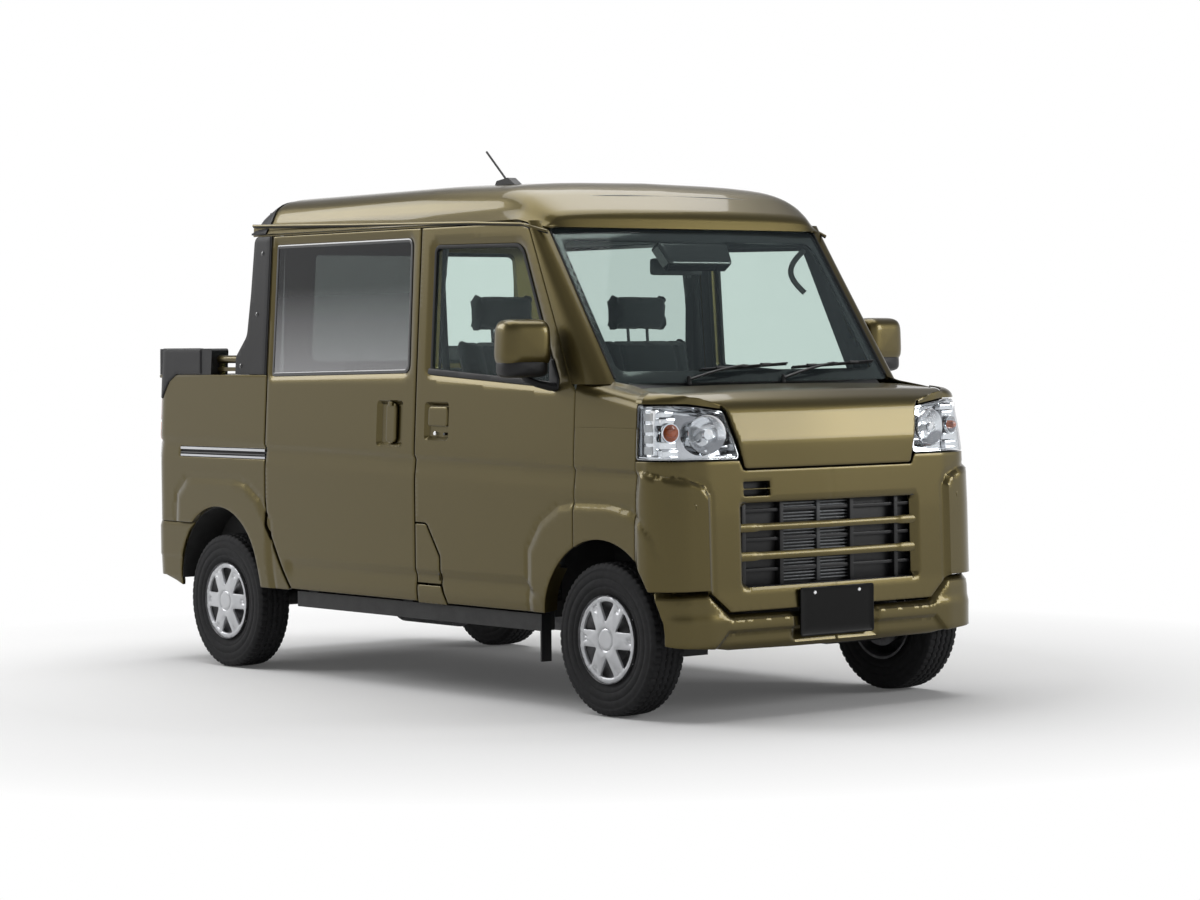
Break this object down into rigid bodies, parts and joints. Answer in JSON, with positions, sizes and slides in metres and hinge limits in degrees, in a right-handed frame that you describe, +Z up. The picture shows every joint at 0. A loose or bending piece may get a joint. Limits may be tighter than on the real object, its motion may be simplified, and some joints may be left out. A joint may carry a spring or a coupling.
{
  "type": "double-cab kei truck with a short drop-gate bed",
  "caption": "Small box-nosed double-cab truck with hinged front doors, sliding rear doors, a short open bed with drop gate, and steered front wheels.",
  "frame": {"origin": "on the ground, midway between the bumpers and between the sides", "axes": "+X forward, +Y to the vehicle's left, +Z up"},
  "size_m": [3.395, 1.8976, 2.0128],
  "materials": {
    "paint": "olive metallic paint, glossy clear coat",
    "black_plastic": "fine grained black",
    "underbody": "black underbody coating, satin",
    "steel": "machined and cast grey",
    "trim": "dark grey grained plastic",
    "privacy_glass": "dark tinted glass",
    "clear_glass": "clear glass with a green tint",
    "lamp_lens": "clear lens over chrome",
    "seat_cloth": "dark grey woven cloth",
    "red_lens": "red lens",
    "plate": "blank black plate",
    "wheel_silver": "silver painted cover",
    "tyre_rubber": "matte rubber"
  },
  "bodies": {
    "body": {"floor_pan": "underbody", "cab_frame": "paint", "roof": "paint", "back_wall": "paint", "rear_window": "privacy_glass", "bed_floor": "paint", "bed_sides": "paint", "bed_rails": "paint", "pillar_covers": "trim", "gate_caps": "trim", "nose_panel": "paint", "front_bumper": "paint", "grille": "black_plastic", "headlamps": "lamp_lens", "windscreen": "clear_glass", "cowl": "black_plastic", "wipers": "black_plastic", "front_fenders": "paint", "slide_door_right": "paint", "slide_door_left": "paint", "slide_glass": "privacy_glass", "seats": "seat_cloth", "dashboard": "trim", "chassis_frame": "underbody", "engine": "steel", "exhaust": "steel", "front_suspension": "underbody", "rear_axle": "underbody", "rear_bumper": "paint", "rear_lamps": "red_lens", "number_plates": "plate", "mud_flaps": "black_plastic", "antenna": "black_plastic"},
    "front_door_right": {"front_door_right": "paint", "door_glass_right": "clear_glass", "mirror_right": "paint"},
    "front_door_left": {"front_door_left": "paint", "door_glass_left": "clear_glass", "mirror_left": "paint"},
    "tailgate": {"tailgate": "paint"},
    "front_lid": {"front_lid": "paint"},
    "fuel_lid": {"fuel_lid": "paint"},
    "steering_wheel": {"steering_wheel": "black_plastic"},
    "knuckle_right": {"knuckle_right": "steel"},
    "knuckle_left": {"knuckle_left": "steel"},
    "wheel_front_right": {"wheel_front_right": "wheel_silver", "tyre_front_right": "tyre_rubber"},
    "wheel_front_left": {"wheel_front_left": "wheel_silver", "tyre_front_left": "tyre_rubber"},
    "wheel_rear_right": {"wheel_rear_right": "wheel_silver", "tyre_rear_right": "tyre_rubber"},
    "wheel_rear_left": {"wheel_rear_left": "wheel_silver", "tyre_rear_left": "tyre_rubber"}
  },
  "joints": [
    {"name": "front_door_right_hinge", "type": "hinge", "parent": "body", "child": "front_door_right", "pos_m": [1.075, -0.7175, 0.9], "axis": [0, 0, 1], "range_deg": [0, 65]},
    {"name": "front_door_left_hinge", "type": "hinge", "parent": "body", "child": "front_door_left", "pos_m": [1.075, 0.7175, 0.9], "axis": [0, 0, -1], "range_deg": [0, 65]},
    {"name": "tailgate_hinge", "type": "hinge", "parent": "body", "child": "tailgate", "pos_m": [-1.6665, 0, 0.676], "axis": [0, -1, 0], "range_deg": [0, 90]},
    {"name": "front_lid_hinge", "type": "hinge", "parent": "body", "child": "front_lid", "pos_m": [1.324, 0, 1.11], "axis": [0, -1, 0], "range_deg": [0, 60]},
    {"name": "fuel_lid_hinge", "type": "hinge", "parent": "body", "child": "fuel_lid", "pos_m": [0.336, -0.7325, 0.455], "axis": [0, 0, 1], "range_deg": [0, 65]},
    {"name": "steer_right", "type": "hinge", "parent": "body", "child": "knuckle_right", "pos_m": [1.3, -0.553, 0.2685], "axis": [0, 0, 1], "range_deg": [-35, 35]},
    {"name": "steer_left", "type": "hinge", "parent": "body", "child": "knuckle_left", "pos_m": [1.3, 0.553, 0.2685], "axis": [0, 0, 1], "range_deg": [-35, 35]},
    {"name": "steering_wheel_turn", "type": "hinge", "parent": "body", "child": "steering_wheel", "pos_m": [0.86, -0.33, 1.01], "axis": [-0.788, 0, 0.6157], "range_deg": [-560, 560]},
    {"name": "wheel_front_right_spin", "type": "hinge", "parent": "knuckle_right", "child": "wheel_front_right", "pos_m": [1.3, -0.653, 0.2685], "axis": [0, 1, 0], "continuous": true},
    {"name": "wheel_front_left_spin", "type": "hinge", "parent": "knuckle_left", "child": "wheel_front_left", "pos_m": [1.3, 0.653, 0.2685], "axis": [0, 1, 0], "continuous": true},
    {"name": "wheel_rear_right_spin", "type": "hinge", "parent": "body", "child": "wheel_rear_right", "pos_m": [-1.15, -0.653, 0.2685], "axis": [0, 1, 0], "continuous": true},
    {"name": "wheel_rear_left_spin", "type": "hinge", "parent": "body", "child": "wheel_rear_left", "pos_m": [-1.15, 0.653, 0.2685], "axis": [0, 1, 0], "continuous": true}
  ],
  "couplings": [
    {"joint": "steer_left", "follows": "steer_right", "ratio": 1},
    {"joint": "steering_wheel_turn", "follows": "steer_right", "ratio": 16}
  ]
}
